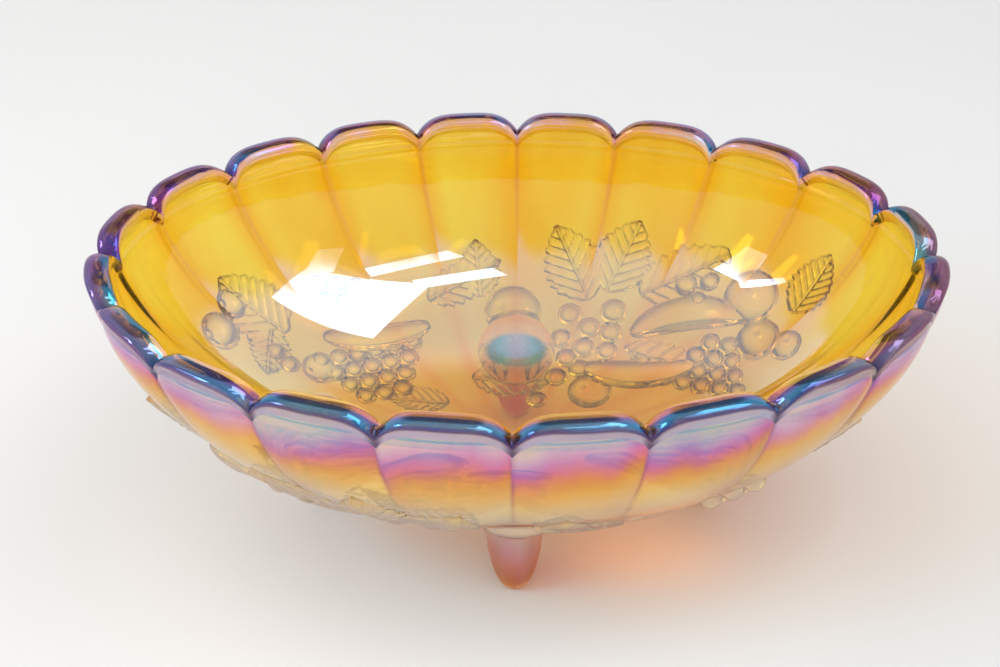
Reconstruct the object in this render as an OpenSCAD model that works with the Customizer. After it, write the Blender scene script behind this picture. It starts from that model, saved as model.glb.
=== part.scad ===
// Oval pressed-glass fruit bowl on four short feet, with a scalloped lip and fruit moulded on its underside.
// Millimetres, +Z up. The origin is on the table under the middle of the bowl; X runs along the length
// and -Y is the front. The bowl is one pressing, so its nodes are the regions of that pressing.

/* [Bowl] */
// Overall length over the rim
bowl_length = 304; // [250:2:370]
// Overall width over the rim
bowl_width = 216; // [178:2:264]
// Height from the table to the top of the scallops
bowl_height = 118; // [96:1:144]
// Gap between the table and the lowest point of the underside
underside_gap = 24; // [20:1:30]
// Thickness of the wall
wall = 5.5; // [4.5:0.5:8]
// Thickness of the floor at its centre
floor_thick = 6.5; // [5:0.5:9]
// Curve of the end walls, from 1.2 (steadily sloping) to 2.4 (upright and then round)
end_curve = 1.45; // [1.2:0.05:2.4]
// Curve of the long side walls, on the same scale
side_curve = 2.05; // [1.4:0.05:2.6]

/* [Panels and rim] */
// Number of scallops round the rim, with one panel of wall below each
scallops = 20; // [12:2:28]
// Height of a scallop above the notches beside it
scallop_rise = 7.5; // [4:0.5:10]
// How far a panel bulges between its two creases
panel_bulge = 1.8; // [0:0.1:2.5]
// Share of the depth at which the panels have faded out
panel_end = 0.62; // [0.4:0.02:0.8]
// Height of the thick lip
lip_height = 6; // [4:0.5:9]
// How far the lip stands out from the wall on each side
lip_overhang = 1.2; // [0.4:0.1:2]

/* [Feet] */
// Distance from the middle of the bowl to the front and back feet
side_foot_reach = 50.5; // [40:0.5:58]
// Distance from the middle of the bowl to the left and right feet
end_foot_reach = 74; // [60:1:86]
// Radius of a foot's shank
foot_r = 10; // [8:0.5:13]
// Radius of the flat pad that a foot stands on
foot_pad_r = 3.5; // [2:0.5:5]
// How much wider a foot is where it joins the bowl
foot_flare = 4.5; // [2:0.5:8]

/* [Moulded fruit] */
// How far a grape stands proud of the underside
grape_proud = 3.4; // [2:0.1:4]
// Radius of a grape
grape_r = 4; // [3:0.1:5]
// Thickness of a leaf at its midrib
leaf_proud = 2; // [1:0.1:3]
// How far the round fruit and bananas stand proud
fruit_proud = 4.2; // [2:0.1:6]
// Depth to which the moulded fruit runs into the wall behind it
relief_sink = 2; // [1:0.1:3.5]

/* [Hidden] */

amber = [0.95, 0.62, 0.12, 0.75];
purple = [0.45, 0.3, 0.62, 0.9];
pink = [0.85, 0.55, 0.5, 0.85];
gold = [0.9, 0.7, 0.35, 0.85];
olive = [0.72, 0.66, 0.3, 0.85];

up = [0, 0, 1];
half_length = bowl_length / 2 - lip_overhang;
half_width = bowl_width / 2 - lip_overhang;
notch_z = bowl_height - scallop_rise;
depth = notch_z - underside_gap;
inner_depth = depth - floor_thick;
// How square the plan of the depth profile is towards the floor
end_fullness = 2.7;
side_fullness = 2;
// Share by which the scallops are spaced along the rim and not by angle, and the angle this gives
evenness = 0.6;
crowding = evenness * (half_length - half_width) / (half_length + half_width) * 90 / PI;
// Flatness of a scallop's arch
arch_power = 4;

// Mesh of the wall
steps_per_scallop = 8;
around = scallops * steps_per_scallop;
levels = 15;
lip_points = 9;

// A foot's upward taper, the height at which it is foot_r, and the height over which it flares
foot_taper = 0.31;
foot_shank = 19.3;
flare_height = 13;
// How far a foot is drawn above its joint before it is cut off halfway into the wall
foot_top_spare = 14;
foot_embed = wall / 2;

// Moulded fruit of the back half; the front half is the same turned by half a turn.
// Places are shares of the half length and half width; turns are degrees from level, seen from outside.
// Place, turn, grapes in the top row, number of rows
grape_bunches = [
    [[-0.41, 0.4], 8, 6, 4], [[-0.5, 0.61], 20, 3, 2], [[0.494, 0.215], 155, 5, 4], [[-0.625, 0.26], 90, 2, 1]
];
// Place and radius
cherries = [
    [[0.15, 0.614], 5], [[0.272, 0.605], 5.6], [[0.203, 0.555], 4.8], [[0.262, 0.525], 4.8],
    [[0.124, 0.52], 4.6], [[0.186, 0.475], 4.7], [[0.25, 0.45], 4.4], [[0.137, 0.435], 4.5],
    [[0.108, 0.35], 4.6], [[0.172, 0.385], 4.4], [[0.471, 0.632], 5], [[0.534, 0.61], 4.2],
    [[0.5, 0.565], 4], [[0.055, 0.24], 4.2]
];
// Place, radius and height over a plain fruit
round_fruit = [
    [[0.64, 0.49], 12, 0], [[0.65, 0.325], 9.5, 0], [[0.715, 0.24], 7, -1], [[0.2, 0.27], 9, -0.8],
    [[-0.76, 0.36], 7, -1], [[-0.78, 0.22], 8.5, 0], [[-0.01, 0.63], 12, 0.3], [[-0.53, 0.27], 7.5, -0.8]
];
// Place of the middle, turn, length, width, bow
bananas = [
    [[0.47, 0.51], 152, 48, 16, -6], [[0.335, 0.345], 157, 46, 14, 4], [[-0.385, 0.48], 190, 46, 12, 3]
];
// Place of the stalk end, turn, length, width
leaves = [
    [[0.205, 0.66], 58, 36, 28], [[0.25, 0.68], 107, 34, 28], [[0.345, 0.65], 145, 44, 26],
    [[0.735, 0.36], 92, 28, 22], [[0.3, 0.46], 184, 42, 16], [[-0.62, 0.37], 68, 36, 32],
    [[-0.66, 0.36], -42, 24, 20], [[-0.25, 0.65], 160, 36, 20], [[-0.12, 0.35], 195, 32, 20],
    [[-0.1, 0.68], 88, 26, 20], [[-0.18, 0.22], 20, 26, 16]
];

// How far to look for the underside on either side of a place on a flat tangent to it
reach = 16;

// ---- Shape of the bowl ----

// Half width of the bowl at a share h of its depth, as a share of its half width at the rim
function end_share(h) = pow(1 - pow(h, end_curve), 1 / end_fullness);
function side_share(h) = pow(1 - pow(h, side_curve), 1 / side_fullness);

// Angle in plan of the station at u degrees, counted from the front notch
function plan_angle(u) = u - crowding * sin(2 * u);

// -1 at the notch before the station u, 0 in the middle of its scallop, 1 at the notch after it
function in_scallop(u) = let (s = u * scallops / 360) 2 * (s - floor(s)) - 1;
function arch(u) = 1 - pow(abs(in_scallop(u)), arch_power);

// How far a panel stands out at a station and a share of the depth
function bulge(u, h) =
    let (fade = max(0, 1 - h / panel_end), across = in_scallop(u))
    panel_bulge * (1 - across * across) * fade * (1 + 2 * (1 - fade));

// A point on an oval whose walls are set in by inset, at share h of a depth deep
function oval(u, h, inset, deep, out) =
    let (t = plan_angle(u), s = max(0, h))
    [
        ((half_length - inset) * end_share(s) + out) * sin(t),
        -((half_width - inset) * side_share(s) + out) * cos(t),
        notch_z - h * deep
    ];

// Share of the depth at level j, from the underside of the lip (j = 0) to the floor (j = levels)
function depth_share(u, j, deep) =
    let (start = (lip_height - scallop_rise * arch(u)) / deep)
    start + (1 - start) * sin(90 * j / levels);

function outer_point(u, j) =
    let (h = depth_share(u, j, depth))
    oval(u, h, 0, depth, bulge(u, max(0, h)));
function inner_point(u, j) = oval(u, depth_share(u, j, inner_depth), wall, inner_depth, 0);

function station(i) = 360 * i / around;
function wrap(i) = i % around;

// ---- Finding the underside for the feet and the fruit ----

// Below 1 inside the oval body and above 1 outside it
function fill_of(p) =
    let (h = min(0.9999, max(0, (notch_z - p.z) / depth)))
    pow(p.x / (half_length * end_share(h)), 2) + pow(p.y / (half_width * side_share(h)), 2);

// Direction straight out of the wall at a point of the underside
function out_of(p, d = 0.05) =
    let (
        gx = fill_of(p + [d, 0, 0]) - fill_of(p - [d, 0, 0]),
        gy = fill_of(p + [0, d, 0]) - fill_of(p - [0, d, 0]),
        gz = fill_of(p + [0, 0, d]) - fill_of(p - [0, 0, d]),
        g = [gx, gy, gz]
    )
    g / norm(g);

// Where the line from a to b, which starts inside the bowl and ends outside it, meets the underside
function meet(a, b, tries = 16) =
    let (middle = (a + b) / 2)
    tries == 0 ? middle : fill_of(middle) < 1 ? meet(middle, b, tries - 1) : meet(a, middle, tries - 1);

// The point of the underside at a place in plan
function underside(x, y) = meet([x, y, notch_z], [x, y, underside_gap]);

// A point over the underside: p.x along a line turned from level, p.y across it, p.z straight out of the glass
function on_underside(place, turn, p) =
    let (
        start = underside(place.x * half_length, place.y * half_width),
        out = out_of(start),
        level = cross(up, out) / norm(cross(up, out)),
        rise = cross(out, level),
        flat = start + (p.x * cos(turn) - p.y * sin(turn)) * level + (p.x * sin(turn) + p.y * cos(turn)) * rise,
        found = meet(flat - reach * out, flat + reach * out)
    )
    found + p.z * out_of(found);
// Puts its children at a point, with +Z along a direction
module facing(p, direction) {
    translate(p)
        rotate([0, acos(direction.z), atan2(direction.y, direction.x)])
            children();
}

// ---- Solids ----

// A closed tube of rings that all have the same number of points, with flat ends
module ring_solid(rings) {
    m = len(rings[0]);
    last = (len(rings) - 1) * m;
    sides = [
        for (i = [0 : len(rings) - 2], k = [0 : m - 1])
            let (a = i * m + k, b = i * m + (k + 1) % m)
                each [[a, b, b + m], [a, b + m, a + m]]
    ];
    start_cap = [for (k = [1 : m - 2]) [0, k + 1, k]];
    end_cap = [for (k = [1 : m - 2]) [last, last + k, last + k + 1]];
    polyhedron([for (ring = rings) each ring], concat(sides, start_cap, end_cap));
}

// Part of a ball that stands proud of the underside at p and runs relief_sink into the wall
module bump(p, radius, proud) {
    ball = (radius * radius + proud * proud) / (2 * proud);
    facing(p, out_of(p))
        intersection() {
            translate([0, 0, proud - ball])
                sphere(r = ball, $fn = 32);
            translate([0, 0, -relief_sink])
                cylinder(r = 2 * radius, h = relief_sink + 2 * proud, $fn = 32);
        }
}

// Oval shell of wall and floor, from the underside of the lip down
module bowl_body() {
    outer = [for (j = [0 : levels - 1], i = [0 : around - 1]) outer_point(station(i), j)];
    inner = [for (j = [0 : levels - 1], i = [0 : around - 1]) inner_point(station(i), j)];
    first_inner = len(outer);
    outer_pole = 2 * first_inner;
    inner_pole = outer_pole + 1;
    lowest = (levels - 1) * around;
    outer_faces = [
        for (j = [0 : levels - 2], i = [0 : around - 1])
            let (a = j * around + i, b = j * around + wrap(i + 1))
                each [[a, b, b + around], [a, b + around, a + around]]
    ];
    inner_faces = [
        for (f = outer_faces)
            [f[0] + first_inner, f[2] + first_inner, f[1] + first_inner]
    ];
    floor_faces = [
        for (i = [0 : around - 1])
            let (a = lowest + i, b = lowest + wrap(i + 1))
                each [[a, b, outer_pole], [first_inner + b, first_inner + a, inner_pole]]
    ];
    lip_faces = [
        for (i = [0 : around - 1])
            let (j = wrap(i + 1))
                each [[i, first_inner + i, first_inner + j], [i, first_inner + j, j]]
    ];
    points = concat(outer, inner, [[0, 0, underside_gap], [0, 0, underside_gap + floor_thick]]);
    color(amber)
        polyhedron(points, concat(outer_faces, inner_faces, floor_faces, lip_faces));
}

// Point k of the lip's section: from the outside of the wall over the rounded lip to the inside
function lip_point(u, k) =
    let (
        outer = outer_point(u, 0),
        inner = inner_point(u, 0),
        across = outer - inner,
        thick = norm(across),
        half_lip = thick / 2 + lip_overhang,
        angle = -20 + 220 * (k - 1) / (lip_points - 3)
    )
    k == 0 ? outer : k == lip_points - 1 ? inner :
    (outer + inner) / 2 + across / thick * half_lip * cos(angle)
        + up * lip_height * (0.45 + 0.55 * sin(angle));

// Thick rounded lip that follows the scallops and sits on the top edge of the wall
module scalloped_rim() {
    m = lip_points;
    points = [for (i = [0 : around - 1], k = [0 : m - 1]) lip_point(station(i), k)];
    over = [
        for (i = [0 : around - 1], k = [0 : m - 2])
            let (a = i * m + k, b = wrap(i + 1) * m + k)
                each [[a, a + 1, b + 1], [a, b + 1, b]]
    ];
    under = [
        for (i = [0 : around - 1])
            let (a = i * m, b = wrap(i + 1) * m, inner_a = a + m - 1, inner_b = b + m - 1)
                each [[a, inner_b, inner_a], [a, b, inner_b]]
    ];
    color(purple)
        polyhedron(points, concat(over, under));
}

// Radius of a foot at height z, for a foot that meets the underside at height joint_z
function foot_radius(z, joint_z) =
    let (
        tip = foot_shank * pow(foot_pad_r / foot_r, 1 / foot_taper),
        flare = min(1, max(0, (z - joint_z + flare_height) / flare_height))
    )
    foot_r * pow((min(z, foot_shank) + tip) / (foot_shank + tip), foot_taper) + foot_flare * flare * flare;

// Solid tapering foot under the point (x, y), with a flat pad on the table, cut off inside the wall
module foot(x, y) {
    joint = underside(x, y);
    out = out_of(joint);
    top = joint.z + foot_top_spare;
    wide = 6 * foot_r;
    steps = 26;
    heights = [for (i = [0 : steps]) top * pow(i / steps, 1.4)];
    outline = concat([[0, 0]], [for (z = heights) [foot_radius(z, joint.z), z]], [[0, top]]);
    color(pink)
        intersection() {
            translate([x, y, 0])
                rotate_extrude($fn = 64)
                    polygon(outline);
            facing(joint - foot_embed * out, out)
                translate([-wide, -wide, 0])
                    cube([2 * wide, 2 * wide, 2 * joint.z]);
        }
}

module foot_front() { foot(0, -side_foot_reach); }
module foot_back() { foot(0, side_foot_reach); }
module foot_left() { foot(-end_foot_reach, 0); }
module foot_right() { foot(end_foot_reach, 0); }

// Bunches of grapes: rows of touching half balls, one fewer in each row
module grapes(turn) {
    pitch = 2 * grape_r + 0.3;
    color(purple)
        rotate(turn)
            for (bunch = grape_bunches, row = [0 : bunch[3] - 1], i = [0 : bunch[2] - row - 1]) {
                along = (i + row / 2 - (bunch[2] - 1) / 2) * pitch;
                bump(on_underside(bunch[0], bunch[1], [along, -row * pitch * sin(60), 0]), grape_r, grape_proud);
            }
}

module cherry_group(turn) {
    color(purple)
        rotate(turn)
            for (cherry = cherries)
                bump(on_underside(cherry[0], 0, [0, 0, 0]), cherry[1], grape_proud);
}

// Apples, pears and plums as low domes
module round_fruit_group(turn) {
    color(gold)
        rotate(turn)
            for (fruit = round_fruit)
                bump(on_underside(fruit[0], 0, [0, 0, 0]), fruit[1], fruit_proud + fruit[2]);
}

// Section of a banana at share s of its length: a half round over the wall
function banana_ring(banana, s) =
    let (
        full = max(0.3, pow(sin(180 * s), 0.5)),
        along = (s - 0.5) * banana[2],
        middle = banana[4] * (4 * s * (1 - s) - 0.5)
    )
    [
        for (angle = [180 : -36 : 0])
            on_underside(banana[0], banana[1], [
                along, middle + banana[3] / 2 * full * cos(angle),
                -relief_sink + (relief_sink + fruit_proud * full) * sin(angle)
            ])
    ];

module banana_group(turn) {
    rings = 12;
    color(gold)
        rotate(turn)
            for (banana = bananas)
                ring_solid([for (i = [0 : rings]) banana_ring(banana, i / rings)]);
}

// Section of a leaf at share s of its length: a low roof over the midrib, narrower on every second ring
function leaf_ring(leaf, s, tooth) =
    let (
        full = max(0.12, pow(sin(180 * pow(s, 0.8)), 0.7)) * (tooth ? 0.82 : 1),
        half = leaf[3] / 2 * full,
        along = s * leaf[2],
        edge = leaf_proud / 2
    )
    [
        for (p = [[-half, -relief_sink], [-half, edge], [0, leaf_proud], [half, edge], [half, -relief_sink]])
            on_underside(leaf[0], leaf[1], [along, p.x, p.y])
    ];

module leaf_group(turn) {
    rings = 13;
    color(olive)
        rotate(turn)
            for (leaf = leaves)
                ring_solid([for (i = [0 : rings]) leaf_ring(leaf, i / rings, i % 2 == 1)]);
}

module front_grapes() { grapes(180); }
module back_grapes() { grapes(0); }
module front_cherries() { cherry_group(180); }
module back_cherries() { cherry_group(0); }
module front_round_fruit() { round_fruit_group(180); }
module back_round_fruit() { round_fruit_group(0); }
module front_bananas() { banana_group(180); }
module back_bananas() { banana_group(0); }
module front_leaves() { leaf_group(180); }
module back_leaves() { leaf_group(0); }

bowl_body();
scalloped_rim();
foot_front();
foot_back();
foot_left();
foot_right();
front_grapes();
back_grapes();
front_cherries();
back_cherries();
front_round_fruit();
back_round_fruit();
front_bananas();
back_bananas();
front_leaves();
back_leaves();
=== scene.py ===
"""Oval carnival-glass fruit bowl: one continuous glass surface, cut into the regions that the frame names."""

import math

import bpy
import numpy as np
from mathutils import Matrix, Vector


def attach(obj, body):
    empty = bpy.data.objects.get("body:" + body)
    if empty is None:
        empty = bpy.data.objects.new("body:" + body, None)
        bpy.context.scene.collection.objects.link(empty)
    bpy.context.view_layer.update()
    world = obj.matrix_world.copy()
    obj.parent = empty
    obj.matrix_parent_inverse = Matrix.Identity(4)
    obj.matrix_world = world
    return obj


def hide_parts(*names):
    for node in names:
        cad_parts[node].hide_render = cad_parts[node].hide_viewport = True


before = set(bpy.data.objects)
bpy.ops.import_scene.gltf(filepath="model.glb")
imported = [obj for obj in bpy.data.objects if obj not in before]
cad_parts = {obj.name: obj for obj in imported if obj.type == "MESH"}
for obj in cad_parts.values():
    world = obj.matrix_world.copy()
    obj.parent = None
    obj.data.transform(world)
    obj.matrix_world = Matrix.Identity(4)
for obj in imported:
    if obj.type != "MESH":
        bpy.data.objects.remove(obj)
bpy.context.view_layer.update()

# ---- Sizes, in millimetres as in the frame's design ----
MM = 0.001
LIP_OVERHANG = 1.2
HALF_LENGTH = 152 - LIP_OVERHANG
HALF_WIDTH = 108 - LIP_OVERHANG
BOWL_HEIGHT = 118.0
SCALLOP_RISE = 7.5
UNDERSIDE_GAP = 24.0
WALL = 5.5
FLOOR_THICK = 6.5
LIP_HEIGHT = 6.0
LIP_SQUARENESS = 2.5
# Angles of the lip's section, in degrees: where it starts, how far it runs, and where its overhang is full
LIP_START, LIP_SWEEP, OVERHANG_FULL = -20, 220, 35
SCALLOPS = 20
PANEL_BULGE = 1.8
CREASE_POWER = 2.6
LEDGE_DROP, LEDGE_PROUD, LEDGE_WIDE = 4.0, 0.7, 1.1
PANEL_END = 0.62
END_CURVE, END_FULLNESS = 1.45, 2.7
SIDE_CURVE, SIDE_FULLNESS = 2.05, 2.0
EVENNESS = 0.6
NOTCH_Z = BOWL_HEIGHT - SCALLOP_RISE
DEPTH = NOTCH_Z - UNDERSIDE_GAP
INNER_DEPTH = DEPTH - FLOOR_THICK
CROWDING = EVENNESS * (HALF_LENGTH - HALF_WIDTH) / (HALF_LENGTH + HALF_WIDTH) / 2

# Feet: place in plan, and the footprint over which the glass is drawn down. PAD_SHARE of the footprint
# makes the pad, the flare starts at FLARE_START of the height, and the fruit fades out over FOOT_CLEAR
SIDE_FOOT, END_FOOT = 50.5, 74.0
FOOT_R, FOOT_PAD_R = 10.0, 3.5
FOOT_SHANK, FOOT_TAPER = 19.3, 0.31
FOOTPRINT = 16.0
PAD_SHARE = 0.24
FLARE_START, FLARE_POWER = 0.5, 2.6
FOOT_CLEAR = 2.5
# Size in plan of the painted blue reflection over each foot's root, along the wall and across it
ROOT_SIZE = (13.5, 8.5)
FEET = {
    "foot_front": (0.0, -SIDE_FOOT),
    "foot_back": (0.0, SIDE_FOOT),
    "foot_left": (-END_FOOT, 0.0),
    "foot_right": (END_FOOT, 0.0),
}

# Mesh: stations round the bowl, and rows up the outside, over the lip and down the inside
STATIONS = SCALLOPS * 60
OUTER_ROWS, LIP_ROWS, INNER_ROWS = 250, 26, 80
# The inside's first UPPER_ROWS rows lie close together in its first UPPER_SHARE, for the ledge
UPPER_ROWS, UPPER_SHARE = 40, 0.16

# Names of the moulded kinds, in the order of their owner numbers
KINDS = ["grapes", "cherries", "round_fruit", "bananas", "leaves"]
GRAPE_R, GRAPE_PROUD, FRUIT_PROUD, LEAF_PROUD = 4.0, 3.4, 4.2, 2.0
GRAPE_GAP = 0.1
LEAF_TEETH, LEAF_VEINS = 9, 7
# Share of the depth below the notches above which nothing is moulded
FRUIT_TOP = 0.3
# How far from its place, in millimetres, each kind can reach
REACH = {"grapes": 40, "cherries": 8, "round_fruit": 14, "bananas": 30, "leaves": 42}

# Fruit of the back half, by share of the half length and half width; turns are seen from outside
GRAPE_BUNCHES = [
    ((-0.41, 0.4), 8, 6, 4),
    ((-0.5, 0.61), 20, 3, 2),
    ((0.494, 0.215), 155, 5, 4),
    ((-0.625, 0.26), 90, 2, 1),
]
CHERRIES = [
    ((0.15, 0.614), 5.0),
    ((0.272, 0.605), 5.6),
    ((0.203, 0.555), 4.8),
    ((0.262, 0.525), 4.8),
    ((0.124, 0.52), 4.6),
    ((0.186, 0.475), 4.7),
    ((0.25, 0.45), 4.4),
    ((0.137, 0.435), 4.5),
    ((0.108, 0.35), 4.6),
    ((0.172, 0.385), 4.4),
    ((0.471, 0.632), 5.0),
    ((0.534, 0.61), 4.2),
    ((0.5, 0.565), 4.0),
    ((0.055, 0.24), 4.2),
]
ROUND_FRUIT = [
    ((0.64, 0.49), 12.0, 0.0),
    ((0.65, 0.325), 9.5, 0.0),
    ((0.715, 0.24), 7.0, -1.0),
    ((0.2, 0.27), 9.0, -0.8),
    ((-0.76, 0.36), 7.0, -1.0),
    ((-0.78, 0.22), 8.5, 0.0),
    ((-0.01, 0.63), 12.0, 0.3),
    ((-0.53, 0.27), 7.5, -0.8),
]
BANANAS = [
    ((0.47, 0.51), 152, 48, 16, -6),
    ((0.335, 0.345), 157, 46, 14, 4),
    ((-0.385, 0.48), 190, 46, 12, 3),
]
LEAVES = [
    ((0.205, 0.66), 58, 36, 28),
    ((0.25, 0.68), 107, 34, 28),
    ((0.345, 0.65), 145, 44, 26),
    ((0.735, 0.36), 92, 28, 22),
    ((0.3, 0.46), 184, 42, 16),
    ((-0.62, 0.37), 68, 36, 32),
    ((-0.66, 0.36), -42, 24, 20),
    ((-0.25, 0.65), 160, 36, 20),
    ((-0.12, 0.35), 195, 32, 20),
    ((-0.1, 0.68), 88, 26, 20),
    ((-0.18, 0.22), 20, 26, 16),
]


# ---- Shape of the bowl ----


def smooth(x, low, high):
    t = np.clip((x - low) / (high - low), 0, 1)
    return t * t * (3 - 2 * t)


def end_share(h):
    return (1 - h**END_CURVE) ** (1 / END_FULLNESS)


def side_share(h):
    return (1 - h**SIDE_CURVE) ** (1 / SIDE_FULLNESS)


def in_scallop(u):
    """-1 at the notch before the station, 0 at the middle of its scallop, 1 at the notch after it."""
    s = u * SCALLOPS / (2 * math.pi)
    return 2 * (s - np.floor(s)) - 1


def arch(u):
    return 1 - np.abs(in_scallop(u)) ** 4


def bulge(u, h):
    fade = np.clip(1 - h / PANEL_END, 0, None)
    crisp = 1 - np.abs(in_scallop(u)) ** CREASE_POWER
    return PANEL_BULGE * crisp * fade * (1 + 2 * (1 - fade))


def oval(u, h, inset, deep, out):
    """Points at stations u and shares h of a depth, on an oval whose walls are set in by inset."""
    plan = u - CROWDING * np.sin(2 * u)
    s = np.clip(h, 0, 1)
    return np.stack(
        [
            ((HALF_LENGTH - inset) * end_share(s) + out) * np.sin(plan),
            -((HALF_WIDTH - inset) * side_share(s) + out) * np.cos(plan),
            NOTCH_Z - h * deep,
        ],
        -1,
    )


def depth_share(u, row_share, deep):
    start = (LIP_HEIGHT - SCALLOP_RISE * arch(u)) / deep
    return start + (1 - start) * np.sin(math.pi / 2 * row_share)


def outside(u, row_share):
    h = depth_share(u, row_share, DEPTH)
    return oval(u, h, 0, DEPTH, bulge(u, np.clip(h, 0, None)))


def inside(u, row_share):
    return oval(u, depth_share(u, row_share, INNER_DEPTH), WALL, INNER_DEPTH, 0)


def lip(u, angle):
    """The lip's section, a rounded square: angle runs from outside over the top to the inside."""
    outer, inner = outside(u, np.zeros_like(u)), inside(u, np.zeros_like(u))
    across = outer - inner
    thick = np.linalg.norm(across, axis=-1, keepdims=True)
    c, s = math.cos(angle), math.sin(angle)
    square = (abs(c) ** LIP_SQUARENESS + abs(s) ** LIP_SQUARENESS) ** (-1 / LIP_SQUARENESS)
    overhang = LIP_OVERHANG * smooth(angle, math.radians(LIP_START), math.radians(OVERHANG_FULL))
    out = (outer + inner) / 2 + across / thick * (thick / 2 + overhang) * c * square
    out[..., 2] += LIP_HEIGHT * (0.45 + 0.55 * s * square)
    return out


def fill_of(p):
    """Below 1 inside the oval body and above 1 outside it."""
    h = np.clip((NOTCH_Z - p[2]) / DEPTH, 0, 0.9999)
    return (p[0] / (HALF_LENGTH * end_share(h))) ** 2 + (p[1] / (HALF_WIDTH * side_share(h))) ** 2


def underside(x, y):
    """The point of the underside at a place in plan."""
    low, high = UNDERSIDE_GAP, NOTCH_Z
    for _ in range(40):
        z = (low + high) / 2
        low, high = (low, z) if fill_of((x, y, z)) < 1 else (z, high)
    return np.array([x, y, high])


def underside_z(x, y):
    """underside() for arrays of places."""
    low, high = np.full_like(x, UNDERSIDE_GAP), np.full_like(x, NOTCH_Z)
    for _ in range(30):
        z = (low + high) / 2
        full = fill_of((x, y, z)) < 1
        low, high = np.where(full, low, z), np.where(full, z, high)
    return (low + high) / 2


def axes_at(place):
    """Point, level direction, rising direction and outward direction at a place by shares."""
    p = underside(place[0] * HALF_LENGTH, place[1] * HALF_WIDTH)
    step = 0.05
    out = np.array([fill_of(p + d) - fill_of(p - d) for d in np.eye(3) * step])
    out /= np.linalg.norm(out)
    level = np.cross((0, 0, 1), out)
    level /= np.linalg.norm(level)
    return p, level, np.cross(out, level), out


# ---- Moulded fruit: each shape gives its height over the wall, in local millimetres ----


def ball_height(a, b, radius, proud, power=0.5):
    return proud * np.clip(1 - (a * a + b * b) / radius**2, 0, 1) ** power


def fruit_height(a, b, radius, proud):
    """A low dome with a small dimple and stalk."""
    dome = ball_height(a, b, radius, proud, 0.55)
    away = np.hypot(a - 0.45 * radius, b - 0.3 * radius)
    return dome - (dome > 0) * 0.7 * np.exp(-((away / (0.16 * radius)) ** 2))


def banana_height(a, b, length, width, bow):
    s = np.clip(a / length + 0.5, 0, 1)
    middle = bow * (4 * s * (1 - s) - 0.5)
    half = width / 2 * np.clip(4 * s * (1 - s), 0, 1) ** 0.42
    across = (b - middle) / np.maximum(half, 0.01)
    round_over = np.clip(1 - across**2, 0, 1) ** 0.5
    ridge = 0.35 * np.exp(-((across - 0.25) ** 2) / 0.02) * round_over
    return (FRUIT_PROUD * (0.45 + 0.55 * half / (width / 2)) * round_over + ridge) * (half > 0.3)


def leaf_height(a, b, length, width):
    """A serrated leaf with a raised midrib and slanting side veins cut into it."""
    s = np.clip(a / length, 0, 1)
    tooth = np.abs(2 * ((s * LEAF_TEETH) % 1) - 1)
    half = width / 2 * np.clip(np.sin(math.pi * s**0.8), 0, 1) ** 0.7 * (0.8 + 0.2 * tooth)
    inside_by = np.clip(half - np.abs(b), 0, 1)
    inside_by = inside_by * ((a > 0) & (a < length))
    blade = LEAF_PROUD * (0.3 + 0.45 * (1 - np.clip(np.abs(b) / np.maximum(half, 0.01), 0, 1)))
    midrib = 0.5 * np.exp(-((b / 0.6) ** 2))
    slant = ((a - 0.9 * np.abs(b)) / (length / LEAF_VEINS)) % 1
    vein = 0.55 * np.exp(-(((slant - 0.5) / 0.13) ** 2)) * smooth(np.abs(b), 0.3, 1.5)
    return (blade + midrib - vein) * inside_by**0.6


def motifs():
    """(kind, place, turn, height function) for every moulded shape of one half."""
    pitch = 2 * GRAPE_R + GRAPE_GAP
    for place, turn, first, rows in GRAPE_BUNCHES:
        for row in range(rows):
            for i in range(first - row):
                along = (i + row / 2 - (first - 1) / 2) * pitch
                down = -row * pitch * math.sin(math.radians(60))
                yield (
                    "grapes",
                    place,
                    turn,
                    lambda a, b, x=along, y=down: ball_height(a - x, b - y, GRAPE_R, GRAPE_PROUD),
                )
    for place, radius in CHERRIES:
        yield "cherries", place, 0, lambda a, b, r=radius: ball_height(a, b, r, GRAPE_PROUD)
    for place, radius, extra in ROUND_FRUIT:
        proud = FRUIT_PROUD + extra
        yield "round_fruit", place, 0, lambda a, b, r=radius, p=proud: fruit_height(a, b, r, p)
    for place, turn, *sizes in BANANAS:
        yield "bananas", place, turn, lambda a, b, s=tuple(sizes): banana_height(a, b, *s)
    for place, turn, *sizes in LEAVES:
        yield "leaves", place, turn, lambda a, b, s=tuple(sizes): leaf_height(a, b, *s)


def moulded(points):
    """Height over the wall and owner number of the back half's fruit at some points."""
    height = np.zeros(len(points))
    owner = np.zeros(len(points), int)
    for kind, place, turn, shape in motifs():
        start, level, rise, _ = axes_at(place)
        near = np.linalg.norm(points - start, axis=1) < REACH[kind]
        p = points[near] - start
        c, s = math.cos(math.radians(turn)), math.sin(math.radians(turn))
        a, b = p @ level, p @ rise
        h = shape(c * a + s * b, c * b - s * a)
        above = h > np.maximum(height[near], 0.03)
        spots = np.flatnonzero(near)[above]
        height[spots], owner[spots] = h[above], KINDS.index(kind) + 1
    return height, owner


# ---- Feet ----


def foot_radius(share, high):
    """Radius at a share of a foot's height, flaring to its footprint at the top."""
    z = share * high
    tip = FOOT_SHANK * (FOOT_PAD_R / FOOT_R) ** (1 / FOOT_TAPER)
    shank = FOOT_R * ((np.minimum(z, FOOT_SHANK) + tip) / (FOOT_SHANK + tip)) ** FOOT_TAPER
    flare = np.clip((share - FLARE_START) / (1 - FLARE_START), 0, 1) ** FLARE_POWER
    return shank + (FOOTPRINT - shank) * flare


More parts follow.
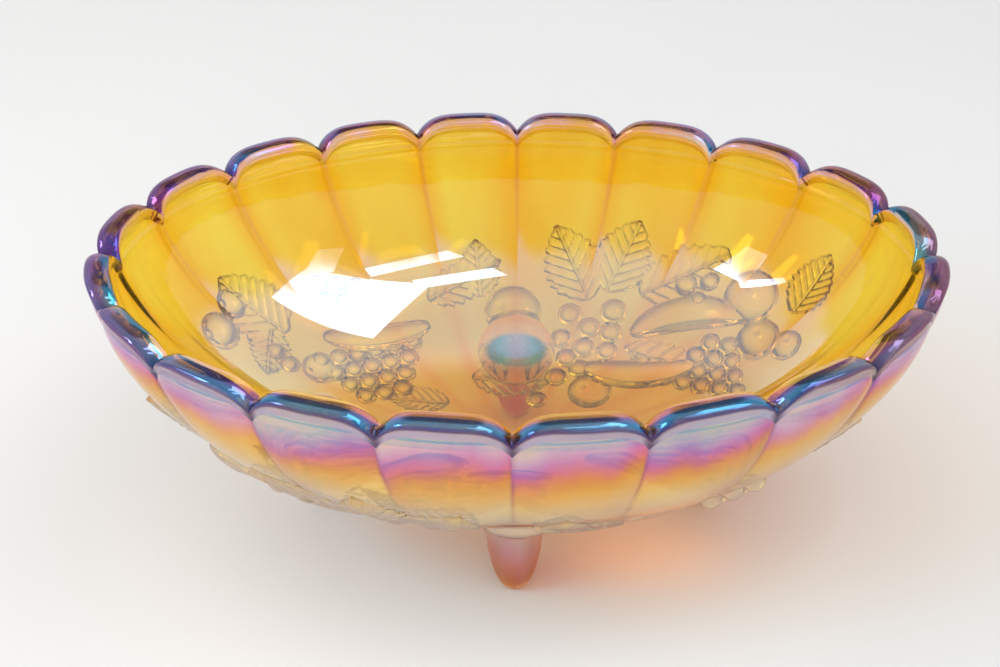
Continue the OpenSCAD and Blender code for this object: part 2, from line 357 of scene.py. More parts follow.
def draw_foot(points, centre):
    """Draws the footprint of a foot down to the table, keeping its outline on the underside."""
    x, y = points[:, 0] - centre[0], points[:, 1] - centre[1]
    away = np.hypot(x, y)
    within = away < FOOTPRINT
    x, y, away = x[within], y[within], np.maximum(away[within], 1e-6)
    cx, cy = x / away, y / away
    high = underside_z(centre[0] + cx * FOOTPRINT, centre[1] + cy * FOOTPRINT)
    s = away / FOOTPRINT
    share = np.clip((s - PAD_SHARE) / (1 - PAD_SHARE), 0, 1) ** 1.1
    squareness = 0.12 * smooth(share, 0.02, 0.3) * (1 - smooth(share, 0.75, 1))
    facet = 1 - squareness * (np.abs(cx * cy) * 2 - 0.5) ** 2 * 2
    radius = np.where(s < PAD_SHARE, FOOT_PAD_R * s / PAD_SHARE, foot_radius(share, high) * facet)
    moved = points.copy()
    moved[within] = np.stack([centre[0] + cx * radius, centre[1] + cy * radius, high * share], -1)
    return moved, within


def foot_roots(points):
    """Each point's distance from the nearest foot's axis, and its share along the root's longer side."""
    nearest = np.full(points.shape[:-1], 9.0)
    lobe = np.zeros(points.shape[:-1])
    for x, y in FEET.values():
        wide, deep = ROOT_SIZE if x == 0 else ROOT_SIZE[::-1]
        level = (points[..., 0] - x) / wide
        inward = (points[..., 1] - y) / deep
        share = np.hypot(level, inward)
        lobe = np.where(share < nearest, np.abs(level if x == 0 else inward), lobe)
        nearest = np.minimum(nearest, share)
    return nearest, lobe


# ---- The glass as one grid of rows and stations ----


def glass_grid():
    """Plain and finished points of the whole glass, rows from the floor's outside to the floor's inside."""
    u = np.arange(STATIONS) * 2 * math.pi / STATIONS
    shares = np.arange(OUTER_ROWS) / OUTER_ROWS
    outer = outside(u[None, :], shares[::-1, None])
    angles = np.radians(LIP_START + LIP_SWEEP * np.arange(LIP_ROWS) / (LIP_ROWS - 1))
    over = np.stack([lip(u, angle) for angle in angles])
    upper = np.linspace(0, UPPER_SHARE, UPPER_ROWS, endpoint=False)
    lower = np.linspace(UPPER_SHARE, 1, INNER_ROWS - UPPER_ROWS, endpoint=False)
    shares = np.concatenate([upper, lower])
    inner = add_ledge(inside(u[None, :], shares[:, None]))
    return np.concatenate([outer, over, inner])


def add_ledge(inner):
    """The low bead that runs level round the inside, just under the scallops."""
    from_ledge = (inner[..., 2] - (NOTCH_Z - LEDGE_DROP)) / LEDGE_WIDE
    proud = LEDGE_PROUD * np.exp(-(from_ledge**2))
    return inner + grid_normals(inner) * proud[..., None]


def grid_normals(grid):
    """Outward normals of the grid by central differences."""
    around = np.roll(grid, -1, 1) - np.roll(grid, 1, 1)
    along = np.gradient(grid, axis=0)
    normal = np.cross(around, along)
    return normal / np.maximum(np.linalg.norm(normal, axis=-1, keepdims=True), 1e-12)


def finish_outside(plain, normals):
    """Moves the outside rows out for the fruit and down for the feet. Gives points and owner numbers."""
    shape = plain.shape[:2]
    points = plain.reshape(-1, 3)
    out = normals.reshape(-1, 3)
    owner = np.zeros(len(points), int)
    height = np.zeros(len(points))
    low = points[:, 2] < NOTCH_Z - FRUIT_TOP * DEPTH
    for side, turn in (("back", 1), ("front", -1)):
        spots = np.flatnonzero(low & (points[:, 1] * turn >= 0))
        h, kind = moulded(points[spots] * (turn, turn, 1))
        height[spots] = h
        owner[spots] = np.where(kind > 0, kind + (side == "front") * len(KINDS), 0)
    for x, y in FEET.values():
        away = np.hypot(points[:, 0] - x, points[:, 1] - y)
        height *= np.where(low, smooth(away, FOOTPRINT, FOOTPRINT + FOOT_CLEAR), 1)
    owner[height <= 0] = 0
    finished = points + out * height[:, None]
    first_foot = 2 * len(KINDS) + 1
    for k, centre in enumerate(FEET.values()):
        moved, within = draw_foot(points, centre)
        within &= low
        finished[within] = moved[within]
        owner[within] = first_foot + k
    return finished.reshape(*shape, 3), owner.reshape(shape)


REGIONS = [f"{side}_{kind}" for side in ("back", "front") for kind in KINDS] + list(FEET)


# ---- Cutting the grid into closed pieces ----


class Glass:
    """The glass grid with its plain points, finished points, normals and owners."""

    def __init__(self):
        self.plain = glass_grid()
        self.plain_normals = grid_normals(self.plain)
        self.points = self.plain.copy()
        self.owner = np.zeros(self.plain.shape[:2], int)
        top = OUTER_ROWS
        self.points[:top], self.owner[:top] = finish_outside(self.plain[:top], self.plain_normals[:top])
        self.normals = grid_normals(self.points)
        rows = self.plain.shape[0]
        across = in_scallop(np.arange(STATIONS) * 2 * math.pi / STATIONS)
        over = np.clip((np.arange(rows) - OUTER_ROWS) / (LIP_ROWS - 1), 0, 1)
        every = np.ones((rows, 1))
        roots, lobes = foot_roots(self.plain)
        self.marks = {
            "crease": (every * np.abs(across)).reshape(-1),
            "lean": (every * across * np.abs(across)).reshape(-1),
            "over": (over[:, None] * np.ones(STATIONS)).reshape(-1),
            "root": roots.reshape(-1),
            "lobe": lobes.reshape(-1),
            "edge": self.edges().reshape(-1),
        }
        index = np.arange(rows * STATIONS).reshape(rows, STATIONS)
        nxt = np.roll(index, -1, 1)
        self.index = index
        self.quads = np.stack([index[:-1], nxt[:-1], nxt[1:], index[1:]], -1)
        own = self.owner
        corner = [own[:-1], np.roll(own, -1, 1)[:-1], np.roll(own, -1, 1)[1:], own[1:]]
        self.quad_owner = np.max(corner, 0)

    def edges(self):
        """How steep the moulded shapes are against the plain wall, most where they face down and inwards: the
        mask for painted shade on the fruit's edges.
        """
        n, plain = self.normals, self.plain_normals
        lean = n - (n * plain).sum(-1, keepdims=True) * plain
        up = np.array([0, 0, 1.0]) - plain[..., 2:] * plain
        up /= np.maximum(np.linalg.norm(up, axis=-1, keepdims=True), 1e-6)
        steep = np.linalg.norm(lean, axis=-1)
        facing_down = np.clip(-(lean * up).sum(-1) / np.maximum(steep, 1e-6), 0, 1)
        return steep * (0.45 + 0.55 * facing_down)

    def moved(self):
        """True at each grid point that the fruit or a foot moves."""
        return (np.abs(self.points - self.plain).max(-1) > 1e-9).reshape(-1)


def build(name, corners, sizes, positions, normals, slots, materials, marks):
    """A mesh object from face corners, with its own normals, material slots and marks for the materials.

    The marks are for the plain grid, and repeat for positions that list the grid twice.
    """
    used, local = np.unique(corners, return_inverse=True)
    mesh = bpy.data.meshes.new(name)
    mesh.vertices.add(len(used))
    mesh.vertices.foreach_set("co", (positions[used] * MM).astype(np.float32).ravel())
    mesh.loops.add(len(local))
    mesh.loops.foreach_set("vertex_index", local.astype(np.int32))
    mesh.polygons.add(len(sizes))
    starts = np.concatenate([[0], np.cumsum(sizes)[:-1]])
    mesh.polygons.foreach_set("loop_start", starts.astype(np.int32))
    mesh.polygons.foreach_set("material_index", slots.astype(np.int32))
    for material in materials:
        mesh.materials.append(material)
    mesh.update(calc_edges=True)
    mesh.validate()
    mesh.polygons.foreach_set("use_smooth", np.ones(len(sizes), bool))
    mesh.normals_split_custom_set(normals.astype(np.float32))
    for mark, values in marks.items():
        spare = np.zeros(len(positions) % len(values))
        every = np.concatenate([np.tile(values, len(positions) // len(values)), spare])
        layer = mesh.attributes.new(mark, "FLOAT", "POINT")
        layer.data.foreach_set("value", every[used].astype(np.float32))
    piece = bpy.data.objects.new(name, mesh)
    bpy.context.collection.objects.link(piece)
    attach(piece, "root")
    return piece


def region_piece(glass, number, material, joined):
    """One moulded region or foot: its finished face, closed by the part of the plain wall that it covers."""
    total = glass.points.shape[0] * STATIONS
    outer_quads = glass.quads[: OUTER_ROWS - 1]
    mine = outer_quads[glass.quad_owner[: OUTER_ROWS - 1] == number]
    moved = glass.moved()
    top = mine + np.where(moved[mine], total, 0)
    bottom = mine[:, ::-1]
    edges = np.stack([mine, np.roll(mine, -1, 1)], -1).reshape(-1, 2)
    keys = edges.min(1) * total + edges.max(1)
    _, first, count = np.unique(keys, return_index=True, return_counts=True)
    rim = edges[first[count == 1]]
    rim = rim[moved[rim].any(1)]
    a, b = rim.T
    wall_sizes, wall = [], []
    for p, q in zip(a, b):
        face = [q, p] + ([p + total] if moved[p] else []) + ([q + total] if moved[q] else [])
        wall_sizes.append(len(face))
        wall += face
    positions = np.concatenate([glass.plain.reshape(-1, 3), glass.points.reshape(-1, 3)])
    top_normals = glass.normals.reshape(-1, 3)[mine].reshape(-1, 3)
    bottom_normals = -glass.plain_normals.reshape(-1, 3)[bottom].reshape(-1, 3)
    corners = np.concatenate([top.ravel(), bottom.ravel(), np.array(wall, int)])
    sizes = np.concatenate([np.full(2 * len(mine), 4), np.array(wall_sizes, int)])
    normals = np.concatenate([top_normals, bottom_normals, np.zeros((len(wall), 3))])
    slots = np.concatenate([np.zeros(len(mine), int), np.ones(len(mine) + len(wall_sizes), int)])
    name = REGIONS[number - 1] + "_glass"
    return build(name, corners, sizes, positions, normals, slots, [material, joined], glass.marks)


def body_piece(glass, outer_material, inner_material, joined, painted_root_reflection):
    """Wall and floor: the plain outside, the inside, and the strip under the lip."""
    top = OUTER_ROWS - 1
    first_inner = OUTER_ROWS + LIP_ROWS
    outer = glass.quads[:top].reshape(-1, 4)
    inner = glass.quads[first_inner:].reshape(-1, 4)
    low, high = glass.index[top], glass.index[first_inner]
    strip = np.stack([low, np.roll(low, -1), np.roll(high, -1), high], -1)
    positions = np.concatenate(
        [glass.plain.reshape(-1, 3), [[0, 0, UNDERSIDE_GAP], [0, 0, UNDERSIDE_GAP + FLOOR_THICK]]]
    )
    count = len(positions)
    bottom_row, inner_row = glass.index[0], glass.index[-1]
    outer_fan = np.stack([np.roll(bottom_row, -1), bottom_row, np.full(STATIONS, count - 2)], -1)
    inner_fan = np.stack([inner_row, np.roll(inner_row, -1), np.full(STATIONS, count - 1)], -1)
    table = np.concatenate([glass.plain_normals.reshape(-1, 3), [[0, 0, -1], [0, 0, 1]]])
    parts = [outer, inner, strip, outer_fan, inner_fan]
    owned = glass.quad_owner[:top].reshape(-1)
    slots = [
        np.where(owned > 2 * len(KINDS), 3, np.where(owned > 0, 2, 0)),
        np.ones(len(inner), int),
        np.full(STATIONS, 2),
        np.zeros(STATIONS, int),
        np.ones(STATIONS, int),
    ]
    normals = [table[part.ravel()] for part in parts]
    normals[2] = np.tile([0.0, 0.0, 1.0], (STATIONS * 4, 1))
    return build(
        "bowl_body_glass",
        np.concatenate([part.ravel() for part in parts]),
        np.concatenate([np.full(len(part), part.shape[1]) for part in parts]),
        positions,
        np.concatenate(normals),
        np.concatenate(slots),
        [outer_material, inner_material, joined, painted_root_reflection],
        glass.marks,
    )


def rim_piece(glass, material, joined):
    """The lip over the wall's top edge."""
    top = OUTER_ROWS - 1
    first_inner = OUTER_ROWS + LIP_ROWS
    over = glass.quads[top:first_inner].reshape(-1, 4)
    low, high = glass.index[top], glass.index[first_inner]
    strip = np.stack([high, np.roll(high, -1), np.roll(low, -1), low], -1)
    normals = np.concatenate(
        [glass.normals.reshape(-1, 3)[over.ravel()], np.tile([0.0, 0.0, -1.0], (STATIONS * 4, 1))]
    )
    return build(
        "scalloped_rim_glass",
        np.concatenate([over.ravel(), strip.ravel()]),
        np.full(len(over) + STATIONS, 4),
        glass.plain.reshape(-1, 3),
        normals,
        np.concatenate([np.zeros(len(over), int), np.ones(STATIONS, int)]),
        [material, joined],
        glass.marks,
    )


# ---- Materials ----

# The part of a noise texture's range in which nearly all of it lies
NOISE_SPAN = (0.3, 0.7)


class Nodes:
    """Short calls for a material's node tree."""

    def __init__(self, name):
        self.material = bpy.data.materials.new(name)
        self.material.use_nodes = True
        self.tree = self.material.node_tree
        self.tree.nodes.clear()
        self.output = self.add("ShaderNodeOutputMaterial")

    def add(self, kind, **settings):
        node = self.tree.nodes.new(kind)
        for key, value in settings.items():
            setattr(node, key, value)
        return node

    def link(self, source, target):
        self.tree.links.new(source, target)

    def place(self):
        return self.add("ShaderNodeTexCoord").outputs["Object"]

    def from_behind(self):
        """1 where the surface is seen from its back, 0 from its front."""
        return self.add("ShaderNodeNewGeometry").outputs["Backfacing"]

    def noise(self, scale, detail=3.0, stretch=(1, 1, 1)):
        mapping = self.add("ShaderNodeMapping")
        mapping.inputs["Scale"].default_value = stretch
        texture = self.add("ShaderNodeTexNoise")
        texture.inputs["Scale"].default_value = scale
        texture.inputs["Detail"].default_value = detail
        self.link(self.place(), mapping.inputs["Vector"])
        self.link(mapping.outputs["Vector"], texture.inputs["Vector"])
        return texture.outputs["Fac"]

    def wander(self, low, high, scale, detail=3.0, stretch=(1, 1, 1)):
        """Noise spread over the range from low to high."""
        return self.map(self.noise(scale, detail, stretch), *NOISE_SPAN, low, high)

    def along(self, axis):
        """Place along an axis of the frame, in metres."""
        split = self.add("ShaderNodeSeparateXYZ")
        self.link(self.place(), split.inputs["Vector"])
        return split.outputs[axis]

    def share(self):
        return self.map(self.along("Z"), 0.0, BOWL_HEIGHT * MM, 0.0, 1.0)

    def crease_shade(self, full):
        """Full in the bottom of a crease under the lip, 0 elsewhere: where painted shade darkens the creases.
        """
        narrow = self.map(self.mark("crease"), 0.93, 1.0, 0.0, full)
        return self.maths("MULTIPLY", narrow, self.map(self.share(), 0.5, 0.72, 0.0, 1.0))

    def endwise(self, full):
        """0 in the middle of the bowl's length, rising to full towards both ends."""
        return self.map(self.maths("ABSOLUTE", self.along("X"), 0.0), 0.06, 0.13, 0.0, full)

    def mark(self, name):
        node = self.add("ShaderNodeAttribute", attribute_name=name)
        return node.outputs["Fac"]

    def mix_shaders(self, amount, first, second):
        node = self.add("ShaderNodeMixShader")
        self.link(amount, node.inputs["Fac"])
        self.link(first, node.inputs[1])
        self.link(second, node.inputs[2])
        return node.outputs["Shader"]

    def map(self, value, low, high, to_low, to_high):
        node = self.add("ShaderNodeMapRange")
        self.link(value, node.inputs["Value"])
        for key, number in (("From Min", low), ("From Max", high), ("To Min", to_low), ("To Max", to_high)):
            node.inputs[key].default_value = number
        return node.outputs["Result"]

    def ramp(self, value, stops):
        node = self.add("ShaderNodeValToRGB")
        node.color_ramp.interpolation = "B_SPLINE"
        elements = node.color_ramp.elements
        while len(elements) < len(stops):
            elements.new(0.5)
        for element, (place, colour) in zip(elements, stops):
            element.position, element.color = place, (*colour, 1)
        self.link(value, node.inputs["Fac"])
        return node.outputs["Color"]

    def maths(self, operation, a, b):
        node = self.add("ShaderNodeMath", operation=operation)
        for socket, value in zip(node.inputs, (a, b)):
            if isinstance(value, (int, float)):
                socket.default_value = value
            else:
                self.link(value, socket)
        return node.outputs[0]

    def mix_colour(self, factor, a, b):
        node = self.add("ShaderNodeMix", data_type="RGBA")
        self.link(factor, node.inputs["Factor"])
        for socket, value in ((node.inputs[6], a), (node.inputs[7], b)):
            if isinstance(value, tuple):
                socket.default_value = (*value, 1)
            else:
                self.link(value, socket)
        return node.outputs[2]


FILM_IOR = 2.7
# Optical thickness that a film ramp's white stands for, in nanometres
FILM_TOP = 400.0
SKIN_BEHIND = 0.1
# How far the bands of colour move down the wall towards the bowl's ends, as a share of its height
END_SHIFT = 0.06
# Painted shade in the creases under the lip: deeper amber for the glass and dark purple for the skin
CREASE_SHADE_GLASS = (0.8, 0.28, 0.03)
CREASE_SHADE_SKIN = (0.3, 0.1, 0.22)


def film_glass(n, deep, pale, film_stops, film_noise, rough, edge=None, behind=0.25):
    """Amber glass with a thin film: its optical thickness in nanometres goes by share of the height.

    Edge is the colour of painted shade on steep edges seen from behind, most where they face down, and behind
    is the film's share from behind.
    """
    glass = n.add("ShaderNodeBsdfPrincipled")
    glass.inputs["Transmission Weight"].default_value = 1.0
    glass.inputs["IOR"].default_value = 1.5
    glass.inputs["Thin Film IOR"].default_value = FILM_IOR
    thick = n.ramp(wavy_share(n, 0.02, -0.04), [(place, (nm / FILM_TOP,) * 3) for place, nm in film_stops])
    wave = n.wander(-film_noise, film_noise, 14.0, 4.0, (1, 1, 1.6))
    feather = n.wander(-film_noise, film_noise, 45.0, 6.0, (1, 1, 0.28))
    optical = n.maths("ADD", n.maths("MULTIPLY", thick, FILM_TOP), n.maths("ADD", wave, feather))
    weight = n.map(n.from_behind(), 0.0, 1.0, 1.0, behind)
    thickness = n.maths("MULTIPLY", n.maths("DIVIDE", optical, FILM_IOR), weight)
    n.link(thickness, glass.inputs["Thin Film Thickness"])
    streak = n.map(n.noise(26.0, 3.0, (1, 1, 0.35)), 0.35, 0.65, 0.2, 1.0)
    # Painted shade: pale streaks fade out towards the creases, and the creases under the lip get a deeper
    # amber
    flat = n.map(n.mark("crease"), 0.55, 1.0, 1.0, 0.0)
    tint = n.mix_colour(n.maths("MULTIPLY", streak, flat), deep, pale)
    tint = n.mix_colour(n.crease_shade(0.6), tint, CREASE_SHADE_GLASS)
    # Painted shade on the steep edges of the fruit, seen from behind
    if edge:
        shade = n.maths("MULTIPLY", n.map(n.mark("edge"), 0.12, 0.4, 0.0, 0.98), n.from_behind())
        tint = n.mix_colour(shade, tint, edge)
    n.link(tint, glass.inputs["Base Color"])
    n.link(n.map(n.noise(140.0), 0.35, 0.7, *rough), glass.inputs["Roughness"])
    return glass.outputs["BSDF"]


def skin(n, colour, rough):
    """The metallic part of the iridescent skin."""
    metal = n.add("ShaderNodeBsdfPrincipled")
    metal.inputs["Metallic"].default_value = 1.0
    n.link(colour, metal.inputs["Base Color"])
    n.link(n.map(n.noise(90.0), 0.35, 0.7, *rough), metal.inputs["Roughness"])
    return metal.outputs["BSDF"]


def specks(n, amount):
    """Adds the small dark specks in the skin to its amount."""
    cells = n.add("ShaderNodeTexVoronoi")
    cells.inputs["Scale"].default_value = 190.0
    n.link(n.place(), cells.inputs["Vector"])
    dots = n.map(cells.outputs["Distance"], 0.06, 0.1, 1.0, 0.0)
    here = n.map(n.noise(9.0, 1.0), 0.56, 0.6, 0.0, 1.0)
    return n.maths("MAXIMUM", amount, n.maths("MULTIPLY", n.maths("MULTIPLY", dots, here), 0.9))


def finish_glass(n, glass, metal, amount):
    """Lays the skin over the glass by an amount, less from behind, and tints the light that goes through."""
    seen = n.maths("MULTIPLY", amount, n.map(n.from_behind(), 0.0, 1.0, 1.0, SKIN_BEHIND))
    coat = n.mix_shaders(seen, glass, metal)
    clear = n.add("ShaderNodeBsdfTransparent")
    n.link(n.ramp(n.share(), SHADOW_TINTS), clear.inputs["Color"])
    shadow = n.add("ShaderNodeLightPath").outputs["Is Shadow Ray"]
    n.link(n.mix_shaders(shadow, coat, clear.outputs["BSDF"]), n.output.inputs["Surface"])
    return n.material


def wavy_share(n, wobble, tilt):
    """Share of the height, bent by noise and by the side of the crease."""
    wave = n.wander(-wobble, wobble, 16.0, 4.0, (1, 1, 0.6))
    feather = n.wander(-wobble, wobble, 60.0, 6.0, (1, 1, 0.22))
    bend = n.maths("MULTIPLY", n.mark("lean"), tilt)
    bend = n.maths("ADD", bend, n.endwise(-END_SHIFT))
    return n.maths("ADD", n.share(), n.maths("ADD", n.maths("ADD", wave, feather), bend))


# Colour that the glass gives to a lamp's light, by share of the height
SHADOW_TINTS = [(0.25, (0.98, 0.54, 0.1)), (0.5, (0.985, 0.77, 0.47)), (0.85, (0.99, 0.91, 0.78))]
# Colour of the skin by share of the height
BANDS = [
    (0.0, (0.5, 0.42, 0.42)),
    (0.25, (0.56, 0.48, 0.46)),
    (0.45, (0.62, 0.52, 0.42)),
    (0.63, (0.68, 0.5, 0.3)),
    (0.72, (0.76, 0.44, 0.13)),
    (0.78, (0.78, 0.32, 0.03)),
    (0.815, (0.74, 0.16, 0.12)),
    (0.85, (0.52, 0.08, 0.46)),
    (0.88, (0.42, 0.24, 0.62)),
    (0.92, (0.5, 0.46, 0.55)),
    (1.0, (0.5, 0.52, 0.5)),
]
# Optical thickness of the film in nanometres, by share of the height
WALL_FILM = [
    (0.2, 150),
    (0.5, 180),
    (0.68, 215),
    (0.77, 245),
    (0.83, 278),
    (0.88, 300),
    (0.93, 375),
    (1.0, 395),
]
INNER_FILM = [(0.2, 90), (0.53, 84), (0.6, 30), (0.9, 12)]
RIM_FILM = [(0.85, 280), (0.93, 310), (1.0, 280)]
FOOT_FILM = [(0.0, 230), (0.1, 260), (0.2, 280), (0.35, 200)]


def body_outside():
    n = Nodes("body_outside")
    glass = film_glass(n, (1, 0.62, 0.12), (1, 0.76, 0.28), WALL_FILM, 14, (0.02, 0.07))
    amount = n.maths("ADD", n.wander(0.34, 0.52, 11.0), n.endwise(0.3))
    # Painted shade: the skin turns dark purple in the creases under the lip
    colour = n.mix_colour(n.crease_shade(0.7), n.ramp(wavy_share(n, 0.026, -0.035), BANDS), CREASE_SHADE_SKIN)
    amount = specks(n, amount)
    return finish_glass(n, glass, skin(n, colour, (0.1, 0.22)), amount)


def body_inside():
    n = Nodes("body_inside")
    glass = film_glass(n, (1, 0.42, 0.0), (1, 0.7, 0.015), INNER_FILM, 10, (0.0, 0.02), behind=1.0)
    tint = glass.node.inputs["Base Color"].links[0].from_socket
    # Over the feet's roots the glass is left nearly clear, so the painted blue reflection under it shows
    over_foot = n.map(n.mark("root"), 0.8, 1.05, 1.0, 0.0)
    n.link(n.mix_colour(over_foot, tint, (0.9, 0.95, 0.9)), glass.node.inputs["Base Color"])
    veil = n.ramp(n.share(), [(0.2, (0.5, 0.55, 0.85)), (0.5, (0.75, 0.6, 0.75)), (0.8, (0.9, 0.7, 0.4))])
    amount = n.map(n.share(), 0.25, 0.6, 0.04, 0.0)
    return finish_glass(n, glass, skin(n, veil, (0.03, 0.06)), amount)


def rim_outside():
    n = Nodes("rim_outside")
    glass = film_glass(n, (1, 0.45, 0.01), (1, 0.6, 0.05), RIM_FILM, 60, (0.01, 0.03))
    over = n.maths("ADD", n.mark("over"), n.wander(-0.08, 0.08, 30.0, 4.0))
    colour = n.ramp(
        over,
        [
            (0.0, (0.5, 0.46, 0.52)),
            (0.12, (0.4, 0.36, 0.5)),
            (0.17, (0.03, 0.02, 0.1)),
            (0.25, (0.06, 0.1, 0.3)),
            (0.33, (0.04, 0.32, 0.5)),
            (0.43, (0.15, 0.3, 0.62)),
            (0.52, (0.36, 0.14, 0.45)),
            (0.62, (0.75, 0.35, 0.25)),
            (0.78, (0.85, 0.5, 0.25)),
            (1.0, (0.9, 0.6, 0.2)),
        ],
    )
    left = n.mix_colour(n.map(n.along("X"), -0.14, -0.08, 0.75, 0.0), colour, (0.22, 0.05, 0.26))
    right = n.mix_colour(n.map(n.along("X"), 0.09, 0.14, 0.0, 0.85), left, (0.26, 0.06, 0.1))
    # Painted shade: the lip darkens to navy at the notches between the scallops
    dark = n.mix_colour(n.map(n.mark("crease"), 0.84, 0.98, 0.0, 0.85), right, (0.02, 0.03, 0.1))
    amount = n.map(n.mark("over"), 0.4, 0.6, 0.88, 0.1)
    return finish_glass(n, glass, skin(n, dark, (0.03, 0.1)), amount)


def relief_outside():
    n = Nodes("relief_outside")
    # Near-black purple of the painted shade on the fruit's edges
    dark = (0.03, 0.004, 0.03)
    glass = film_glass(
        n, (1, 0.64, 0.2), (1, 0.78, 0.36), WALL_FILM, 16, (0.02, 0.06), edge=dark, behind=0.3
    )
    amount = n.wander(0.42, 0.6, 20.0)
    bands = n.ramp(wavy_share(n, 0.035, 0.0), BANDS)
    pink = n.map(n.share(), 0.3, 0.6, 0.5, 0.0)
    colour = n.mix_colour(pink, bands, (0.8, 0.48, 0.46))
    # Painted shade: a patchy dark red on the fruit's steep edges, most where they face down
    patchy = n.map(n.noise(55.0), 0.45, 0.65, 0.0, 1.0)
    edge_shade = n.map(n.maths("MULTIPLY", n.mark("edge"), patchy), 0.1, 0.5, 0.0, 0.8)
    colour = n.mix_colour(edge_shade, colour, (0.7, 0.16, 0.12))
    return finish_glass(n, glass, skin(n, colour, (0.1, 0.2)), amount)


def foot_outside():
    n = Nodes("foot_outside")
    glass = film_glass(n, (0.95, 0.3, 0.02), (1, 0.42, 0.05), FOOT_FILM, 14, (0.03, 0.08))
    wave = n.wander(-0.02, 0.02, 40.0)
    colour = n.ramp(
        n.maths("ADD", n.share(), wave),
        [
            (0.0, (0.6, 0.14, 0.02)),
            (0.05, (0.4, 0.1, 0.05)),
            (0.12, (0.6, 0.22, 0.2)),
            (0.19, (0.55, 0.32, 0.36)),
            (0.26, (0.42, 0.42, 0.55)),
        ],
    )
    amount = n.map(n.share(), 0.0, 0.1, 0.3, 0.62)
    return finish_glass(n, glass, skin(n, colour, (0.18, 0.3)), amount)


def make_painted_root_reflection():
    """Painted reflection: a blue metallic sheet on the face over each foot's root, seen only from inside the
    bowl, stands in for the foot's film reflecting back through the clear floor.
    """
    n = Nodes("painted_root_reflection")
    clear = n.add("ShaderNodeBsdfTransparent")
    ripple = n.wander(-0.15, 0.15, 70.0, 2.0)
    blue = n.ramp(
        n.maths("ADD", n.mark("lobe"), ripple),
        [
            (0.0, (0.5, 0.5, 0.8)),
            (0.3, (0.35, 0.5, 0.8)),
            (0.55, (0.03, 0.5, 0.75)),
            (0.8, (0.01, 0.2, 0.4)),
        ],
    )
    within = n.map(n.mark("root"), 0.85, 1.0, 0.9, 0.0)
    around = n.map(n.mark("root"), 1.0, 1.7, 0.55, 0.15)
    blend = n.mix_colour(n.map(n.mark("root"), 0.9, 1.05, 0.0, 1.0), blue, (0.9, 0.62, 0.42))
    amount = n.maths("MULTIPLY", n.maths("MAXIMUM", within, around), n.from_behind())
    root = n.mix_shaders(amount, clear.outputs["BSDF"], skin(n, blend, (0.2, 0.3)))
    n.link(root, n.output.inputs["Surface"])
    return n.material


def joined_glass():
    """Where two regions of the pressing meet there is no surface, so light goes straight through."""
    n = Nodes("joined_glass")
    clear = n.add("ShaderNodeBsdfTransparent")
    n.link(clear.outputs["BSDF"], n.output.inputs["Surface"])
    return n.material


def table_top():
    n = Nodes("pale_table")
    base = n.add("ShaderNodeBsdfPrincipled")
    speckle = n.wander(0.0, 1.0, 3.0)
    n.link(n.mix_colour(speckle, (0.745, 0.74, 0.735), (0.77, 0.765, 0.76)), base.inputs["Base Color"])
    base.inputs["Roughness"].default_value = 0.6
    base.inputs["Specular IOR Level"].default_value = 0.2
    n.link(base.outputs["BSDF"], n.output.inputs["Surface"])
    return n.material


# ---- Stage, light and camera ----

CAMERA_PLACE = (0.0041, -0.4626, 0.3899)
CAMERA_PITCH, CAMERA_YAW, CAMERA_ROLL = 33.95, 1.21, -0.48
CAMERA_LENS, CAMERA_SENSOR = 53.8, 36


def make_camera():
    data = bpy.data.cameras.new("camera")
    data.lens = CAMERA_LENS
    data.sensor_width = CAMERA_SENSOR
    camera = bpy.data.objects.new("camera", data)
    turn = (
        Matrix.Rotation(math.radians(CAMERA_YAW), 4, "Z")
        @ Matrix.Rotation(math.radians(90 - CAMERA_PITCH), 4, "X")
        @ Matrix.Rotation(math.radians(CAMERA_ROLL), 4, "Z")
    )
    camera.matrix_world = Matrix.Translation(CAMERA_PLACE) @ turn
    bpy.context.collection.objects.link(camera)
    bpy.context.scene.camera = camera


def make_floor():
    mesh = bpy.data.meshes.new("table")
    half, back, top, bend, steps = 2.0, 1.6, 1.0, 0.5, 16
    line = [(-half, 0.0), (back - bend, 0.0)]
    line += [
        (back - bend + bend * math.sin(a), bend - bend * math.cos(a))
        for a in (math.pi / 2 * k / steps for k in range(1, steps + 1))
    ]
    line.append((back, top))
    points = [(x, y, z) for y, z in line for x in (-half, half)]
    faces = [(2 * i, 2 * i + 1, 2 * i + 3, 2 * i + 2) for i in range(len(line) - 1)]
    mesh.from_pydata(points, [], faces)
    mesh.polygons.foreach_set("use_smooth", [True] * len(faces))
    mesh.materials.append(table_top())
    table = bpy.data.objects.new("table", mesh)
    bpy.context.collection.objects.link(table)


def area_light(name, place, target, size, power, colour=(1, 1, 1)):
    data = bpy.data.lights.new(name, "AREA")
    data.shape = "RECTANGLE"
    data.size, data.size_y = size
    data.energy = power
    data.color = colour
    light = bpy.data.objects.new(name, data)
    light.location = place
    light.rotation_euler = (Vector(target) - Vector(place)).to_track_quat("-Z", "Y").to_euler()
    bpy.context.collection.objects.link(light)
    return light


CEILING = 1.3
OVERHEAD_WATTS, LEFT_WATTS = 5.0, 9.0
# Brightness of the room by the height of a direction
ROOM_LOW, ROOM_HIGH = (0.2, 0.73), (0.95, 0.52)
# The room's darker patch: the way to it, and its share of the light at its edge and in its middle
PATCH_TOWARD = (-0.05, 0.66, 0.75)
PATCH_EDGE, PATCH_MIDDLE = (0.86, 1.0), (0.965, 0.3)
# Brightness of the window panes on the right and on the left
WINDOW_GLOW, LEFT_GLOW = 1.9, 4.0
EXPOSURE = 0.36


def ceiling_pane(name, place, size, turn, glow, colour):
    """A pane of light lying in the ceiling, whose brightness is glow."""
    watts = glow * math.pi * size[0] * size[1]
    pane = area_light(name, (*place, CEILING), (*place, 0), size, watts, colour)
    pane.rotation_euler = (0, 0, math.radians(turn))


